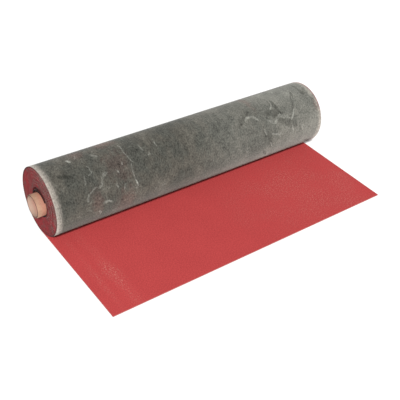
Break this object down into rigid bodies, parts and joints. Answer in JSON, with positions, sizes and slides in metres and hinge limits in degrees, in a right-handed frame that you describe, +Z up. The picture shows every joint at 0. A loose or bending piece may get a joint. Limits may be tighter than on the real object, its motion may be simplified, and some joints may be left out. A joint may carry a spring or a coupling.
{
  "type": "roll of roofing felt",
  "caption": "Part-used roll of roofing felt on a cardboard tube, grey-backed outside, its loose end laid out flat to show the red weather face.",
  "frame": {"origin": "middle of the footprint of the whole object, on the floor it lies on", "axes": "+X along the roll's axis, away from the end with the pale strip; -Y the way the loose end points; +Z up"},
  "size_m": [1.044, 0.5062, 0.2124],
  "materials": {
    "felt": "matt red fine-grit weather face, dull grey fleece back",
    "cardboard": "plain wound board, matt"
  },
  "bodies": {
    "root": {"felt_roll": "felt", "core_tube": "cardboard"}
  },
  "joints": []
}
